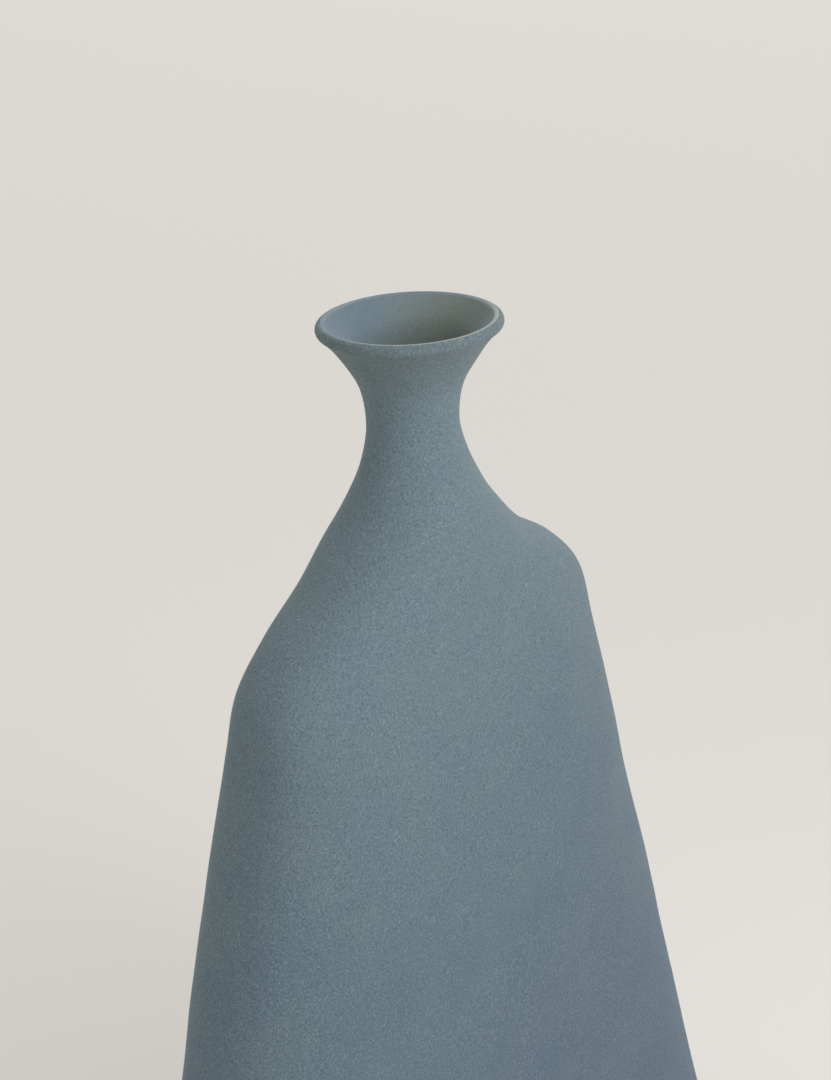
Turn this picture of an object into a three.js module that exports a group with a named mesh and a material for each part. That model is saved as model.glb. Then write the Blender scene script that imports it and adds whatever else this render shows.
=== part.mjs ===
// Ceramic bud vase: a flat, slab-built stoneware flask with a thrown neck and a flared mouth.
// Millimetres, +Z up. The origin is under the middle of the base, X runs along the broad faces
// and the front face looks towards -Y. The clay pieces meet face to face with a fine slip joint.
import * as THREE from "three";
import { LoftGeometry } from "three/addons/geometries/LoftGeometry.js";

const JOINT_GAP = 0.3;
const SLAB_THICKNESS = 5;
const SLAB_EDGE_RADIUS = 1.6;
const BODY_WALL = 3.2;
const NECK_WALL = 2.8;
const LIP_RADIUS = 0.95;
const LIP_Z = 210.05;
const LIP_START_ANGLE = -Math.PI / 4;
const NECK_JOINT_Z = 181;
const SPIGOT_LENGTH = 4;
const SPIGOT_WALL = 1.3;
const SEAM_COIL_RADIUS = 2.4;
const BASE_COIL_RADIUS = 2.2;
const NECK_COIL_RADIUS = 1.2;
const SEAM_COIL_BOTTOM = 12;
const SEAM_COIL_TOP = 156;

// The mouth leans a little, as a thrown rim does: rise per millimetre along X and along Y.
const MOUTH_LEAN_X = -0.03;
const MOUTH_LEAN_Y = -0.01;
const MOUTH_LEAN_START = 198;

// The section is an ellipse in the neck and squares off towards a flat flask below the shoulder.
const NECK_SQUARENESS = 2;
const BODY_SQUARENESS = 2.7;
const SQUARING_TOP = 184;
const SQUARING_BOTTOM = 140;

const POINTS_AROUND = 40;
const COIL_SIDES = 8;

const ENGOBE = { color: 0x6f828c, roughness: 0.85, metalness: 0 };
const BARE_CLAY = { color: 0xb3a08c, roughness: 0.95, metalness: 0 };

// The outer form, from foot to lip: half width, half depth and height.
const RIB = new THREE.CatmullRomCurve3(
  [
    [91, 19, 0],
    [70.2, 19.5, 57],
    [57, 19.3, 101],
    [49.7, 17.8, 127],
    [46.3, 16.6, 140],
    [44.2, 15, 151],
    [36.9, 13.7, 159],
    [27.3, 13.3, 165.2],
    [20.2, 12.7, 171.6],
    [14.7, 11.1, 177.6],
    [10.9, 9, 184.5],
    [9, 7.9, 191.5],
    [9.7, 8.9, 198.6],
    [12.7, 11.6, 203.9],
    [15.3, 13.7, 207.5],
    [17.4, 15.4, 209.4],
  ].map(([halfWidth, halfDepth, z]) => new THREE.Vector3(halfWidth, halfDepth, z)),
);

// The walls are joined by hand, so their middle line sways: shift along X, and height.
const SWAY = new THREE.CatmullRomCurve3(
  [
    [0, 0],
    [0, 8],
    [1.5, 51],
    [1.2, 76],
    [-0.1, 101],
    [-0.2, 125],
    [-0.6, 148],
    [-0.6, 168],
    [0.5, 181],
    [0.1, 193],
    [0, 211],
  ].map(([shift, z]) => new THREE.Vector3(shift, 0, z)),
);

// The parameter at which a rising curve reaches a height, found by halving.
function parameterAt(curve, z) {
  let low = 0;
  let high = 1;
  for (let halving = 0; halving < 40; halving += 1) {
    const middle = (low + high) / 2;
    if (curve.getPoint(middle).z < z) low = middle;
    else high = middle;
  }
  return low;
}

// The outer form at a height, with its slopes.
function ribAt(z) {
  const parameter = parameterAt(RIB, z);
  const point = RIB.getPoint(parameter);
  const tangent = RIB.getTangent(parameter);
  return {
    centreX: SWAY.getPoint(parameterAt(SWAY, z)).x,
    halfWidth: point.x,
    halfDepth: point.y,
    z,
    widthSlope: tangent.x / tangent.z,
    depthSlope: tangent.y / tangent.z,
  };
}

// The form a given thickness inside the outer one, measured square to the wall.
function insetAt(z, thickness) {
  const outer = ribAt(z);
  return {
    ...outer,
    halfWidth: outer.halfWidth - thickness * Math.hypot(1, outer.widthSlope),
    halfDepth: outer.halfDepth - thickness * Math.hypot(1, outer.depthSlope),
  };
}

function levels(from, to, count) {
  return Array.from({ length: count }, (_, i) => THREE.MathUtils.lerp(from, to, i / (count - 1)));
}

// One point of a level's section, at an angle around the vase.
function sectionPoint({ centreX, halfWidth, halfDepth, z }, angle) {
  const squaring = THREE.MathUtils.clamp((SQUARING_TOP - z) / (SQUARING_TOP - SQUARING_BOTTOM), 0, 1);
  const power = 2 / THREE.MathUtils.lerp(NECK_SQUARENESS, BODY_SQUARENESS, squaring);
  const along = Math.cos(angle);
  const across = Math.sin(angle);
  const x = halfWidth * Math.sign(along) * Math.abs(along) ** power;
  const y = halfDepth * Math.sign(across) * Math.abs(across) ** power;
  const lean = THREE.MathUtils.clamp((z - MOUTH_LEAN_START) / (LIP_Z - MOUTH_LEAN_START), 0, 1);
  return new THREE.Vector3(centreX + x, y, z + lean * (MOUTH_LEAN_X * x + MOUTH_LEAN_Y * y));
}

function fullSection(level) {
  return Array.from({ length: POINTS_AROUND }, (_, i) => sectionPoint(level, (2 * Math.PI * i) / POINTS_AROUND));
}

function pieceOf(name, geometry, finish) {
  const mesh = new THREE.Mesh(geometry, new THREE.MeshStandardMaterial(finish));
  mesh.name = name;
  return mesh;
}

// A ring of clay: its levels run up the outside, over the top and down the inside to the start.
function ringGeometry(loop) {
  return new LoftGeometry([...loop, loop[0]].map(fullSection));
}

// Half of the body wall: at each height a C-shaped section, with its two end faces on the seam.
function shellGeometry(side) {
  const firstAngle = side < 0 ? Math.PI : 0;
  const steps = POINTS_AROUND / 2;
  const angles = Array.from({ length: steps + 1 }, (_, i) => firstAngle + (Math.PI * i) / steps);
  const keepOffSeam = (point) => {
    point.y = side * Math.max(side * point.y, JOINT_GAP / 2);
    return point;
  };
  const cSection = (z, wall) => {
    const outside = angles.map((angle) => keepOffSeam(sectionPoint(ribAt(z), angle)));
    const inside = angles.map((angle) => keepOffSeam(sectionPoint(insetAt(z, wall), angle)));
    return [...outside, ...inside.reverse()];
  };
  const bottom = SLAB_THICKNESS + JOINT_GAP;
  const top = NECK_JOINT_Z - JOINT_GAP / 2;
  const rebateZ = NECK_JOINT_Z - SPIGOT_LENGTH - JOINT_GAP;
  const rebatedWall = NECK_WALL - SPIGOT_WALL - JOINT_GAP;
  return new LoftGeometry(
    [
      ...levels(bottom, 126, 7).map((z) => cSection(z, BODY_WALL)),
      ...levels(133, rebateZ, 12).map((z) => cSection(z, BODY_WALL)),
      ...levels(rebateZ, top, 3).map((z) => cSection(z, rebatedWall)),
    ],
    { capStart: true, capEnd: true },
  );
}

function lipLevel(angle) {
  const outer = ribAt(LIP_Z - LIP_RADIUS * Math.SQRT1_2);
  const inward = LIP_RADIUS * (Math.cos(angle) - Math.SQRT1_2);
  return {
    ...outer,
    halfWidth: outer.halfWidth + inward,
    halfDepth: outer.halfDepth + inward,
    z: LIP_Z + LIP_RADIUS * Math.sin(angle),
  };
}

// The neck: up the outside, round the lip, down the funnel and the bore, and back up the spigot.
function neckGeometry() {
  const bottom = NECK_JOINT_Z + JOINT_GAP / 2;
  const flareTop = LIP_Z - 2 * LIP_RADIUS;
  const outside = levels(bottom, flareTop, 12).map(ribAt);
  const lip = levels(LIP_START_ANGLE, LIP_START_ANGLE + Math.PI, 7).map(lipLevel);
  const wallAt = (z) => {
    const rise = (z - NECK_JOINT_Z) / (flareTop - NECK_JOINT_Z);
    return THREE.MathUtils.lerp(NECK_WALL, 2 * LIP_RADIUS, THREE.MathUtils.smoothstep(rise, 0, 1));
  };
  const inside = levels(flareTop, NECK_JOINT_Z - SPIGOT_LENGTH, 12).map((z) => insetAt(z, wallAt(z)));
  const spigot = levels(NECK_JOINT_Z - SPIGOT_LENGTH, bottom, 3).map((z) =>
    insetAt(z, NECK_WALL - SPIGOT_WALL),
  );
  return ringGeometry([...outside, ...lip, ...inside, ...spigot]);
}

// The bottom slab carries the walls on its top face and has a softened lower edge.
function slabGeometry() {
  const edge = levels(0, Math.PI / 2, 5).map((angle) => {
    const outer = ribAt(SLAB_EDGE_RADIUS * (1 - Math.cos(angle)));
    const inward = SLAB_EDGE_RADIUS * (1 - Math.sin(angle));
    return { ...outer, halfWidth: outer.halfWidth - inward, halfDepth: outer.halfDepth - inward };
  });
  return new LoftGeometry([...edge, ribAt(SLAB_THICKNESS)].map(fullSection), {
    capStart: true,
    capEnd: true,
  });
}

// A coil pressed round the inside of the wall at a height, clear of it by the joint gap.
function ringCoilGeometry(centreZ, radius) {
  const outer = ribAt(centreZ);
  const away = BODY_WALL + radius + JOINT_GAP;
  const centre = {
    halfWidth: outer.halfWidth - away * Math.hypot(1, outer.widthSlope),
    halfDepth: outer.halfDepth - away * Math.hypot(1, outer.depthSlope),
  };
  const turn = (2 * Math.PI) / COIL_SIDES;
  return ringGeometry(
    Array.from({ length: COIL_SIDES }, (_, i) => ({
      centreX: outer.centreX,
      halfWidth: centre.halfWidth + radius * Math.cos(i * turn),
      halfDepth: centre.halfDepth + radius * Math.cos(i * turn),
      z: centreZ + radius * Math.sin(i * turn),
    })),
  );
}

// A coil pressed up the inside of one narrow end, over the seam between the two shells.
function seamCoilGeometry(side) {
  const sections = levels(SEAM_COIL_BOTTOM, SEAM_COIL_TOP, 16).map((z, i, all) => {
    const atEnd = i === 0 || i === all.length - 1;
    const radius = atEnd ? SEAM_COIL_RADIUS * 0.6 : SEAM_COIL_RADIUS;
    const outer = ribAt(z);
    const away = BODY_WALL + SEAM_COIL_RADIUS + JOINT_GAP;
    const centreX = outer.centreX + side * (outer.halfWidth - away * Math.hypot(1, outer.widthSlope));
    return Array.from({ length: COIL_SIDES }, (_, corner) => {
      const angle = (2 * Math.PI * corner) / COIL_SIDES;
      return new THREE.Vector3(centreX + radius * Math.cos(angle), radius * Math.sin(angle), z);
    });
  });
  return new LoftGeometry(sections, { capStart: true, capEnd: true });
}

const baseCoilZ = SLAB_THICKNESS + JOINT_GAP + BASE_COIL_RADIUS;
const neckCoilZ = NECK_JOINT_Z - SPIGOT_LENGTH - 2 * JOINT_GAP - NECK_COIL_RADIUS;

const vase = new THREE.Group();
vase.add(pieceOf("base_slab", slabGeometry(), BARE_CLAY));
vase.add(pieceOf("front_shell", shellGeometry(-1), ENGOBE));
vase.add(pieceOf("back_shell", shellGeometry(1), ENGOBE));
vase.add(pieceOf("neck_collar", neckGeometry(), ENGOBE));
vase.add(pieceOf("left_seam_coil", seamCoilGeometry(-1), BARE_CLAY));
vase.add(pieceOf("right_seam_coil", seamCoilGeometry(1), BARE_CLAY));
vase.add(pieceOf("base_seam_coil", ringCoilGeometry(baseCoilZ, BASE_COIL_RADIUS), BARE_CLAY));
vase.add(pieceOf("neck_seam_coil", ringCoilGeometry(neckCoilZ, NECK_COIL_RADIUS), BARE_CLAY));

export default vase;
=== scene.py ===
# Ceramic bud vase: a flat, slab-built stoneware flask with a thrown neck, in metres, +Z up.
import math

import bpy
import numpy as np
from mathutils import Matrix, Vector, noise


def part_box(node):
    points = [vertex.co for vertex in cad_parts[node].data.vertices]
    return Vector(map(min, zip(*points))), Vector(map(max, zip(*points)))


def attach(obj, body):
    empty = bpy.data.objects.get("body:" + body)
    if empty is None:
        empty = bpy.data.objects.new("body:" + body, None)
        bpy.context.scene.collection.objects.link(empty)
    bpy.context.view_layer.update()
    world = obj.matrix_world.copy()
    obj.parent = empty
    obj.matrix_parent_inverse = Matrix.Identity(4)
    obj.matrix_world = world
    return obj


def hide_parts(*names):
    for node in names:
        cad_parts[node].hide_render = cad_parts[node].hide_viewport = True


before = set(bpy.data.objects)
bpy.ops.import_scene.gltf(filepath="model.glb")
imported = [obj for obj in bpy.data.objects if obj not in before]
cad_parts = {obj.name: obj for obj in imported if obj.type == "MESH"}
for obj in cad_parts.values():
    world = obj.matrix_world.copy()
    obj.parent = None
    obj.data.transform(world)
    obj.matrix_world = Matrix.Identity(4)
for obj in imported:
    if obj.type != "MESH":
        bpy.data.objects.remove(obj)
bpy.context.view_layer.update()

# Vase body -----------------------------------------------------------------------------------
# Two slabs of grogged stoneware pressed over a hump mould, joined along the narrow ends, with a
# thrown neck luted on top. The joints are smoothed while leather hard and the clay fires into one
# wall, so outside, lip and throat are one skin, sprayed with slate engobe.
MM = 0.001
AROUND = 256
OUTSIDE_STEP = 1.0
INSIDE_STEP = 1.6

BODY_WALL = 3.2
NECK_WALL = 2.8
NECK_JOINT = 181.0
THROAT_BLEND = 6.0
WALL_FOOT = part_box("base_slab")[1].z / MM

# The lip is a bead that the flare swells into. Its turns are measured upwards from facing out.
LIP_RADIUS = 1.15
LIP_HALF_WIDTH = 18.0
LIP_HALF_DEPTH = 15.7
LIP_HEIGHT = 209.85
LIP_STARTS = math.radians(-48)
LIP_ENDS = math.radians(150)
LIP_TURNS = 20
LIP_FOOT = LIP_HEIGHT + LIP_RADIUS * math.sin(LIP_STARTS)
LIP_SWELLS_FROM = LIP_FOOT - 6.0
FLARE_TOP = LIP_HEIGHT - 2 * LIP_RADIUS

# Rows of faces over the lip's inner edge that have the throat's coat, and rows next to them that are
# worn pale and carry a painted highlight.
THROAT_ROWS_ON_LIP = 4
WORN_AND_HIGHLIGHT_ROWS = 4

# The section is an ellipse above the first height and squared off to a flask below the second.
ROUND_ABOVE = 184.0
SQUARE_BELOW = 140.0
BODY_SQUARENESS = 2.7

# The mouth was pushed slightly out of level: rise for each mm along X and along Y.
MOUTH_LEAN_START = 198.0
MOUTH_LEAN_X = -0.03
MOUTH_LEAN_Y = -0.01

# Fingers and a rib leave slow waves and smaller ones, both calmer where the neck was thrown.
WAVE_HEIGHT, WAVE_LENGTH = 0.30, 30.0
RIPPLE_HEIGHT, RIPPLE_LENGTH = 0.11, 11.0
RIPPLE_SHIFT = Vector((7, 3, 5))
THROWN_ABOVE = 176.0
THROWN_CALM = 0.4
BODY_FLATNESS = 3.0

# Half width, half depth and height of the outside, from the foot to just under the lip.
FORM = np.array([
    (91.0, 19.0, 0.0), (70.2, 19.5, 57.0), (57.0, 19.3, 101.0), (49.7, 17.8, 127.0),
    (46.3, 16.6, 140.0), (44.2, 15.0, 151.0), (36.9, 13.7, 159.0), (27.3, 13.3, 165.2),
    (20.2, 12.7, 171.6), (14.7, 11.1, 177.6), (10.9, 9.0, 184.5), (9.0, 7.9, 191.5),
    (9.7, 8.9, 198.6), (12.7, 11.6, 203.9), (15.3, 13.7, 207.5), (17.4, 15.4, 209.4),
])
# The walls are joined by hand, so their middle line sways: shift along X, and height.
SWAY = np.array([
    (0.0, 0.0), (0.0, 8.0), (1.5, 51.0), (1.2, 76.0), (-0.1, 101.0), (-0.2, 125.0),
    (-0.6, 148.0), (-0.6, 168.0), (0.5, 181.0), (0.1, 193.0), (0.0, 211.0),
])


def clay_curve(stations):
    """Points close together on the centripetal Catmull-Rom curve through the stations."""
    points = np.vstack([2 * stations[0] - stations[1], stations, 2 * stations[-1] - stations[-2]])
    knots = np.concatenate([[0], np.cumsum(np.linalg.norm(np.diff(points, axis=0), axis=1) ** 0.5)])
    spans = []
    for i in range(len(stations) - 1):
        p0, p1, p2, p3 = points[i:i + 4]
        t0, t1, t2, t3 = knots[i:i + 4]
        t = np.linspace(t1, t2, 40)[:, None]
        a1 = p0 + (p1 - p0) * (t - t0) / (t1 - t0)
        a2 = p1 + (p2 - p1) * (t - t1) / (t2 - t1)
        a3 = p2 + (p3 - p2) * (t - t2) / (t3 - t2)
        b1 = a1 + (a2 - a1) * (t - t0) / (t2 - t0)
        b2 = a2 + (a3 - a2) * (t - t1) / (t3 - t1)
        spans.append(b1 + (b2 - b1) * (t - t1) / (t2 - t1))
    return np.concatenate(spans)


FORM_CURVE = clay_curve(FORM)
SWAY_CURVE = clay_curve(SWAY)


def form_at(height, inset=0.0):
    """Half width, half depth and sway at the heights, inside the outer form by a wall's thickness."""
    reach = 0.3
    near = np.clip(height, reach, FORM[-1, 2] - reach)
    sizes = []
    for column in (0, 1):
        outer, above, below = (
            np.interp(z, FORM_CURVE[:, 2], FORM_CURVE[:, column])
            for z in (height, near + reach, near - reach)
        )
        slope = (above - below) / (2 * reach)
        sizes.append(outer - inset * np.hypot(1, slope))
    return sizes[0], sizes[1], np.interp(height, SWAY_CURVE[:, 1], SWAY_CURVE[:, 0])


def section(half_width, half_depth, height, sway):
    """A ring of points at a height: an ellipse in the neck, squared off to a flask below it."""
    angle = np.arange(AROUND) * 2 * np.pi / AROUND
    squared = np.clip((ROUND_ABOVE - height) / (ROUND_ABOVE - SQUARE_BELOW), 0, 1)
    power = 2 / (2 + (BODY_SQUARENESS - 2) * squared)
    x = half_width * np.sign(np.cos(angle)) * np.abs(np.cos(angle)) ** power
    y = half_depth * np.sign(np.sin(angle)) * np.abs(np.sin(angle)) ** power
    lean = np.clip((height - MOUTH_LEAN_START) / (LIP_HEIGHT - MOUTH_LEAN_START), 0, 1)
    return np.stack([x + sway, y, height + lean * (MOUTH_LEAN_X * x + MOUTH_LEAN_Y * y)], axis=1)


def hand_worked(ring):
    """The ring with the slight dips and swells that fingers and a rib leave, in mm."""
    middle = ring.mean(axis=0)
    calm = THROWN_CALM if middle[2] > THROWN_ABOVE else 1.0
    for point in ring:
        place = Vector(point)
        swell = WAVE_HEIGHT * noise.noise(place / WAVE_LENGTH)
        swell += RIPPLE_HEIGHT * noise.noise(place / RIPPLE_LENGTH + RIPPLE_SHIFT)
        outward = Vector((point[0] - middle[0], (point[1] - middle[1]) * BODY_FLATNESS, 0)).normalized()
        point += np.array(outward) * swell * calm
    return ring


def body_rings():
    """Rings up the outside, over the lip and down the inside, and how many make the outside."""
    rise = np.linspace(WALL_FOOT, LIP_FOOT, round((LIP_FOOT - WALL_FOOT) / OUTSIDE_STEP))
    width, depth, sway = form_at(rise)
    swell = np.clip((rise - LIP_SWELLS_FROM) / (LIP_FOOT - LIP_SWELLS_FROM), 0, 1) ** 1.3
    overhang = LIP_RADIUS * (1 - math.cos(LIP_STARTS))
    width += swell * (LIP_HALF_WIDTH - overhang - width[-1])
    depth += swell * (LIP_HALF_DEPTH - overhang - depth[-1])
    rings = []
    for size_x, size_y, shift, z in zip(width, depth, sway, rise):
        rings.append(hand_worked(section(size_x, size_y, z, shift)))
    for turn in np.linspace(LIP_STARTS, LIP_ENDS, LIP_TURNS + 1)[1:]:
        inward = LIP_RADIUS * (math.cos(turn) - 1)
        z = LIP_HEIGHT + LIP_RADIUS * math.sin(turn)
        rings.append(section(LIP_HALF_WIDTH + inward, LIP_HALF_DEPTH + inward, z, sway[-1]))
    outside_count = len(rings)
    fall = np.linspace(FLARE_TOP, WALL_FOOT, round((FLARE_TOP - WALL_FOOT) / INSIDE_STEP))
    up_neck = np.clip((fall - NECK_JOINT) / (FLARE_TOP - NECK_JOINT), 0, 1)
    thinning = up_neck * up_neck * (3 - 2 * up_neck)
    below_neck = np.clip((NECK_JOINT - fall) / THROAT_BLEND, 0, 1)
    wall = NECK_WALL + (2 * LIP_RADIUS - NECK_WALL) * thinning + (BODY_WALL - NECK_WALL) * below_neck
    for width, depth, sway, z in zip(*form_at(fall, wall), fall):
        rings.append(section(width, depth, z, sway))
    return rings, outside_count


def skin(name, rings, closed_loop):
    """A smooth mesh over rings of points in mm, joined end to end or capped at both ends."""
    count = len(rings[0])
    rows = len(rings) if closed_loop else len(rings) - 1
    faces = []
    for row in range(rows):
        here, above = row * count, (row + 1) % len(rings) * count
        for i in range(count):
            j = (i + 1) % count
            faces.append((here + i, here + j, above + j, above + i))
    if not closed_loop:
        faces.append(tuple(range(count))[::-1])
        faces.append(tuple(range((len(rings) - 1) * count, len(rings) * count)))
    mesh = bpy.data.meshes.new(name)
    mesh.from_pydata((np.concatenate(rings) * MM).tolist(), [], faces)
    mesh.polygons.foreach_set("use_smooth", [len(face) == 4 for face in faces])
    mesh.update()
    piece = bpy.data.objects.new(name, mesh)
    bpy.context.scene.collection.objects.link(piece)
    return piece


def linear(hex_colour):
    """An sRGB hex colour as the linear RGBA that a shader takes."""
    channels = [int(hex_colour[i:i + 2], 16) / 255 for i in (1, 3, 5)]
    return [c / 12.92 if c <= 0.04045 else ((c + 0.055) / 1.055) ** 2.4 for c in channels] + [1.0]


def add_node(tree, kind, inputs=None, **settings):
    """Add a node. An input is a plain value, or another node's output socket to link from."""
    node = tree.nodes.new(kind)
    for key, value in settings.items():
        setattr(node, key, value)
    for key, value in (inputs or {}).items():
        socket = node.inputs[key]
        if isinstance(value, bpy.types.NodeSocket):
            tree.links.new(value, socket)
        else:
            socket.default_value = linear(value) if isinstance(value, str) else value
    return node


def mixed(tree, amount, first, second):
    """The blend of two colours, each a socket or a hex colour, by an amount from 0 to 1."""
    node = add_node(tree, "ShaderNodeMix", data_type="RGBA")
    for key, value in (("Factor_Float", amount), ("A_Color", first), ("B_Color", second)):
        socket = next(s for s in node.inputs if s.identifier == key)
        if isinstance(value, bpy.types.NodeSocket):
            tree.links.new(value, socket)
        else:
            socket.default_value = linear(value) if isinstance(value, str) else value
    return next(s for s in node.outputs if s.identifier == "Result_Color")


def ramp(tree, value, low, high, to_low=0.0, to_high=1.0):
    """A value stretched so that low..high becomes to_low..to_high, and held at both ends."""
    return add_node(tree, "ShaderNodeMapRange", {
        "Value": value, "From Min": low, "From Max": high, "To Min": to_low, "To Max": to_high,
    }).outputs["Result"]


def along(tree, place, direction, start_mm, end_mm, at_start, at_end):
    """A value that runs from one figure to another along a direction, between two distances."""
    where = add_node(tree, "ShaderNodeVectorMath", {0: place, 1: direction}, operation="DOT_PRODUCT")
    return ramp(tree, where.outputs["Value"], start_mm * MM, end_mm * MM, at_start, at_end)


def new_material(name, roughness, ior):
    material = bpy.data.materials.new(name)
    material.use_nodes = True
    shader = material.node_tree.nodes["Principled BSDF"]
    shader.inputs["Roughness"].default_value = roughness
    shader.inputs["IOR"].default_value = ior
    return material, material.node_tree, shader


# Matt engobe over grogged clay: dead matt slate blue with a sandy tooth. Sand and grog of 0.4 to
# 0.9 mm stand up under the coat; the colour is paler on the grains as painted light, darker in the
# pits between them as painted shade, and has painted glints on the grog.
def engobe(name, pale_tone, deep_tone, pales_along, sand_shows, shade=None):
    """The coat goes over from the deep tone into the pale one along a way: a direction, and from where
    to where in mm. The pale side is painted light in the throat, and partly painted light on the body
    and the lip. shade is a colour of painted shade, how much of it, and the way along which it deepens."""
    sand_mm, grog_mm, drag_mm, cloud_mm = 0.42, 0.85, 3.2, 17.0
    material, tree, shader = new_material(name, roughness=0.82, ior=1.48)
    shader.inputs["Sheen Weight"].default_value = 0.10
    shader.inputs["Sheen Roughness"].default_value = 0.45
    place = add_node(tree, "ShaderNodeTexCoord").outputs["Object"]
    sand = add_node(tree, "ShaderNodeTexNoise", {
        "Vector": place, "Scale": 1 / (sand_mm * MM), "Detail": 2.0, "Roughness": 0.55,
    }).outputs["Fac"]
    grog = add_node(tree, "ShaderNodeTexVoronoi", {
        "Vector": place, "Scale": 1 / (grog_mm * MM), "Randomness": 1.0,
    }, feature="F1").outputs["Distance"]
    drag = add_node(tree, "ShaderNodeTexNoise", {
        "Vector": place, "Scale": 1 / (drag_mm * MM), "Detail": 2.0,
    }).outputs["Fac"]
    cloud = add_node(tree, "ShaderNodeTexNoise", {
        "Vector": place, "Scale": 1 / (cloud_mm * MM), "Detail": 2.0, "Roughness": 0.5,
    }).outputs["Fac"]
    deep_share = add_node(tree, "ShaderNodeMath", {
        0: along(tree, place, *pales_along, 0.8, 0.0), 1: ramp(tree, cloud, 0.35, 0.65, -0.14, 0.14),
    }, operation="ADD", use_clamp=True).outputs["Value"]
    coat = mixed(tree, deep_share, pale_tone, deep_tone)
    # Painted shade: a darker colour mixed in where shade falls, under the flare and deep in the throat.
    if shade:
        shade_colour, amount, *shade_deepens_along = shade
        coat = mixed(tree, along(tree, place, *shade_deepens_along, 0.0, amount), coat, shade_colour)
    # Painted shade in the pits of the sand, painted light on the grain tops and painted glints on the
    # grog.
    painted_pit_shade = mixed(tree, ramp(tree, sand, 0.32, 0.48, 0.45 * sand_shows, 0.0), coat, "#46545c")
    painted_grain_light = mixed(tree, ramp(tree, sand, 0.54, 0.70, 0.0, 0.36 * sand_shows), painted_pit_shade, "#8fa2aa")
    painted_glints = mixed(tree, ramp(tree, grog, 0.08, 0.18, 0.42 * sand_shows, 0.0), painted_grain_light, "#a9b7ba")
    tree.links.new(painted_glints, shader.inputs["Base Color"])
    tooth = add_node(tree, "ShaderNodeBump", {
        "Height": sand, "Strength": 0.9 * sand_shows, "Distance": 0.20 * MM,
    }).outputs["Normal"]
    swell = add_node(tree, "ShaderNodeBump", {
        "Height": drag, "Strength": 0.35, "Distance": 0.20 * MM, "Normal": tooth,
    }).outputs["Normal"]
    tree.links.new(swell, shader.inputs["Normal"])
    return material


wall_rings, outside_count = body_rings()
vase_body = skin("vase_body", wall_rings, closed_loop=True)
# Outside, the coat goes from paler and greener at the top left to deeper blue at the foot: partly its
# own tone, partly painted light that fades lower down. The darker band under the flare is painted
# shade.
vase_body.data.materials.append(engobe(
    "slate_engobe", "#6a7e85", "#576d84", sand_shows=1.0,
    pales_along=((-0.25, 0, 1), -5, 172), shade=("#59615d", 0.34, (0, 0, 1), 198, 207)))
# In the throat the paler olive tone to the right is painted warm light thrown in from the left, and the
# darkening further down is painted shade.
vase_body.data.materials.append(engobe(
    "slate_engobe_in_the_throat", "#828a7e", "#60778a", sand_shows=0.35,
    pales_along=((0.8, 0, -0.6), -124, -112), shade=("#4a514c", 0.85, (0.35, 0, -1), -206, -197)))
# On the lip the coat is worn pale at the edge; towards the front this pale band is also a painted
# highlight along the top of the lip.
vase_body.data.materials.append(engobe(
    "slate_engobe_worn_with_painted_highlight_on_the_lip", "#a3aaa1", "#66798a", sand_shows=0.8, pales_along=((0, -1, 0), -2, 13)))
throat_row = outside_count - THROAT_ROWS_ON_LIP
worn_and_highlight_row = throat_row - WORN_AND_HIGHLIGHT_ROWS
for face in vase_body.data.polygons:
    row = face.index // AROUND
    face.use_smooth = row < len(wall_rings) - 1
    face.material_index = 1 if row >= throat_row else 2 if row >= worn_and_highlight_row else 0
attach(vase_body, "root")
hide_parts("front_shell", "back_shell", "neck_collar")

# Base slab -------------------------------------------------------------------------------------
# A flat slab of the same clay, cut to the outline of the walls and luted under them. The engobe
# runs down its edge; the sponged lower edge and the underside stay bare for the kiln shelf.
SLAB_EDGE = 1.6
ENGOBE_STOPS = 1.2


def slab_rings():
    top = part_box("base_slab")[1].z / MM
    levels = [(SLAB_EDGE * (1 - math.cos(turn)), SLAB_EDGE * (1 - math.sin(turn)))
              for turn in np.linspace(0, math.pi / 2, 9)]
    levels += [(z, 0.0) for z in np.linspace(SLAB_EDGE, top, 7)[1:]]
    rings = []
    for z, inward in levels:
        width, depth, sway = form_at(np.array([z]))
        rings.append(hand_worked(section(width[0] - inward, depth[0] - inward, z, sway[0])))
    return rings


# Bare fired stoneware: warm buff and dry, with darker and paler grains of grog 0.5 mm across.
def bare_stoneware():
    grog_mm, flash_mm = 0.5, 22.0
    material, tree, shader = new_material("bare_stoneware", roughness=0.93, ior=1.5)
    place = add_node(tree, "ShaderNodeTexCoord").outputs["Object"]
    grog = add_node(tree, "ShaderNodeTexNoise", {
        "Vector": place, "Scale": 1 / (grog_mm * MM), "Detail": 3.0, "Roughness": 0.6,
    }).outputs["Fac"]
    flash = add_node(tree, "ShaderNodeTexNoise", {
        "Vector": place, "Scale": 1 / (flash_mm * MM), "Detail": 2.0,
    }).outputs["Fac"]
    clay = mixed(tree, ramp(tree, flash, 0.35, 0.65), "#b8a48e", "#ab9480")
    dark = mixed(tree, ramp(tree, grog, 0.28, 0.42, 0.45, 0.0), clay, "#7d6a58")
    pale = mixed(tree, ramp(tree, grog, 0.60, 0.72, 0.0, 0.40), dark, "#d4c6b2")
    tree.links.new(pale, shader.inputs["Base Color"])
    tooth = add_node(tree, "ShaderNodeBump", {
        "Height": grog, "Strength": 0.5, "Distance": 0.15 * MM,
    }).outputs["Normal"]
    tree.links.new(tooth, shader.inputs["Normal"])
    return material


bare_clay = bare_stoneware()
base_slab = skin("base_slab_clay", slab_rings(), closed_loop=False)
base_slab.data.materials.append(bare_clay)
base_slab.data.materials.append(vase_body.data.materials[0])
for face in base_slab.data.polygons:
    lowest = min(base_slab.data.vertices[v].co.z for v in face.vertices)
    face.material_index = 1 if len(face.vertices) == 4 and lowest > ENGOBE_STOPS * MM else 0
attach(base_slab, "root")
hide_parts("base_slab")

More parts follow.
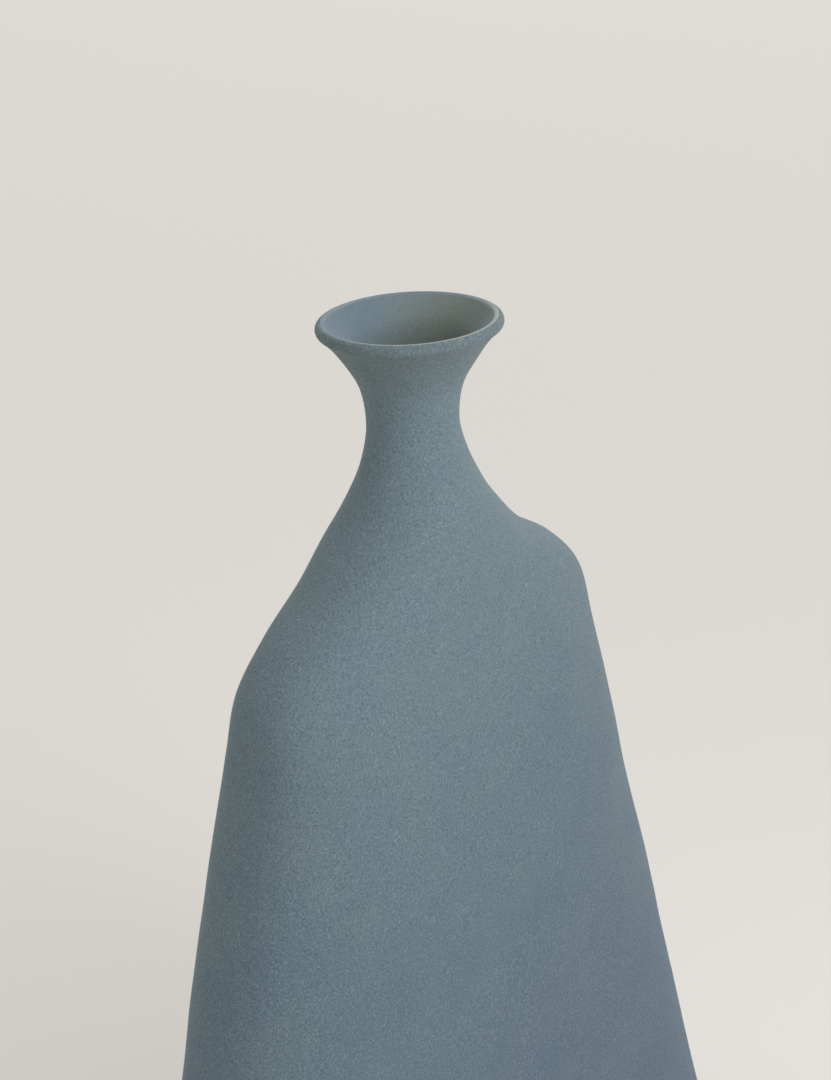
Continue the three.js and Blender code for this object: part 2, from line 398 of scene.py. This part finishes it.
# Seam coils ------------------------------------------------------------------------------------
# Soft coils of the same clay, rolled by hand and pressed with a fingertip into each inside corner:
# up both end seams, round the base slab and round the neck joint. They stay bare inside the vase.
PRESS_LENGTH = 11.0
PRESS_DENT = 0.20
END_THICKNESS = 0.55
END_GROWTH = 0.15
COIL_SIDES = 16
COIL_GAP = 0.3


def pressed_coil(name, node, route, radius, closed_loop):
    """A rolled coil along a route in mm, with a shallow dent at each press of the finger."""
    steps = np.linalg.norm(np.diff(route, axis=0), axis=1)
    run = np.concatenate([[0], np.cumsum(steps)])
    presses = round(run[-1] / PRESS_LENGTH)
    rings = []
    for i, centre in enumerate(route):
        after = route[(i + 1) % len(route)] if closed_loop or i + 1 < len(route) else centre
        before = route[i - 1] if closed_loop or i > 0 else centre
        forward = Vector(after - before).normalized()
        across = forward.cross(Vector((0, 0, 1) if closed_loop else (0, 1, 0))).normalized()
        rise = across.cross(forward)
        dent = PRESS_DENT / 2 * (1 + math.cos(run[i] / run[-1] * presses * 2 * math.pi))
        steps_from_end = min(i, len(route) - 1 - i)
        taper = 1.0 if closed_loop else min(1.0, END_THICKNESS + END_GROWTH * steps_from_end)
        ring = []
        for corner in range(COIL_SIDES):
            angle = corner * 2 * math.pi / COIL_SIDES
            thick = radius * taper * (1 - dent * (0.5 + 0.5 * math.cos(angle)))
            ring.append(centre + thick * np.array(across * math.cos(angle) + rise * math.sin(angle)))
        rings.append(np.array(ring))
    coil = skin(name, rings, closed_loop)
    coil.data.materials.append(bare_clay)
    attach(coil, "root")
    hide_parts(node)


for name, side in (("left", -1), ("right", 1)):
    low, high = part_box(f"{name}_seam_coil")
    coil_radius = (high.y - low.y) / 2 / MM
    heights = np.linspace(low.z, high.z, 90) / MM
    width, _, sway = form_at(heights, BODY_WALL + coil_radius + COIL_GAP)
    line = np.stack([sway + side * width, np.zeros(len(heights)), heights], axis=1)
    pressed_coil(f"{name}_end_coil", f"{name}_seam_coil", line, coil_radius, closed_loop=False)

for name in ("base", "neck"):
    low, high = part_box(f"{name}_seam_coil")
    coil_radius = (high.z - low.z) / 2 / MM
    middle = (low.z + high.z) / 2 / MM
    width, depth, sway = form_at(np.array([middle]), BODY_WALL + coil_radius + COIL_GAP)
    line = section(width[0], depth[0], middle, sway[0])
    pressed_coil(f"{name}_ring_coil", f"{name}_seam_coil", line, coil_radius, closed_loop=True)

# Studio ----------------------------------------------------------------------------------------
# A plain warm white floor in an even pale room. Soft daylight comes from the right, near and far,
# warm light is thrown back from the left, and a wide lamp behind lights the floor.
FLOOR_EDGE = 6.0
mesh = bpy.data.meshes.new("floor")
corners = [(x * FLOOR_EDGE, y * FLOOR_EDGE, 0) for x, y in ((-1, -1), (1, -1), (1, 1), (-1, 1))]
mesh.from_pydata(corners, [], [(0, 1, 2, 3)])
floor = bpy.data.objects.new("floor", mesh)
bpy.context.scene.collection.objects.link(floor)
# Matt warm white paint: a plain pale ground with no sheen.
floor_paint, _, floor_shader = new_material("floor_paint", roughness=0.9, ior=1.45)
floor_shader.inputs["Base Color"].default_value = linear("#f0ede8")
floor.data.materials.append(floor_paint)

world = bpy.data.worlds.new("room")
bpy.context.scene.world = world
world.use_nodes = True
world.node_tree.nodes["Background"].inputs["Color"].default_value = linear("#f2f1ef")
world.node_tree.nodes["Background"].inputs["Strength"].default_value = 0.55

VIEW_TURN = math.radians(50.05)
VIEW_DOWN = math.radians(23.6)
VIEW_ROLL = math.radians(-1.49)
right = Vector((math.cos(VIEW_TURN), -math.sin(VIEW_TURN), 0))
ahead = Vector((math.sin(VIEW_TURN), math.cos(VIEW_TURN), 0))
up = Vector((0, 0, 1))


def soft_light(name, side_degrees, rise_degrees, away, aim, size, power, colour):
    """A square lamp that looks at a point, turned to the right of the view and raised."""
    side = math.radians(side_degrees)
    rise = math.radians(rise_degrees)
    level = right * math.sin(side) - ahead * math.cos(side)
    towards = level * math.cos(rise) + up * math.sin(rise)
    lamp = bpy.data.lights.new(name, "AREA")
    lamp.size = size
    lamp.energy = power
    lamp.color = linear(colour)[:3]
    light = bpy.data.objects.new(name, lamp)
    light.visible_camera = False
    light.location = Vector(aim) + towards * away
    light.rotation_euler = towards.to_track_quat("Z", "Y").to_euler()
    bpy.context.scene.collection.objects.link(light)


SHOULDER = (-0.022, -0.015, 0.155)
MIDDLE = (0, 0, 0.12)
soft_light("window", 90, 16, 1.5, MIDDLE, 1.0, 1.8, "#f4f9ff")
soft_light("near_window", 49, 36, 0.27, SHOULDER, 0.14, 0.41, "#fbfcff")
soft_light("wall_bounce", -105, 12, 1.2, MIDDLE, 1.6, 1.7, "#ffeedb")
soft_light("room_behind", 165, 42, 4.4, MIDDLE, 4.0, 78.0, "#fffefb")

# The camera stands beyond the left end of the front face and looks down at the vase.
LENS = 86.67
DISTANCE = 0.4556
MOUTH = Vector((0, 0, 0.211))
AXIS_BELOW_MOUTH = 0.0390
forward = ahead * math.cos(VIEW_DOWN) - up * math.sin(VIEW_DOWN)
upward = ahead * math.sin(VIEW_DOWN) + up * math.cos(VIEW_DOWN)
image_right = right * math.cos(VIEW_ROLL) + upward * math.sin(VIEW_ROLL)
image_up = upward * math.cos(VIEW_ROLL) - right * math.sin(VIEW_ROLL)
camera_data = bpy.data.cameras.new("camera")
camera_data.lens = LENS
camera_data.clip_start = 0.01
camera = bpy.data.objects.new("camera", camera_data)
camera.matrix_world = Matrix((image_right, image_up, -forward)).transposed().to_4x4()
camera.location = MOUTH - upward * AXIS_BELOW_MOUTH - forward * DISTANCE
bpy.context.scene.collection.objects.link(camera)
bpy.context.scene.camera = camera
bpy.context.scene.view_settings.view_transform = "Standard"
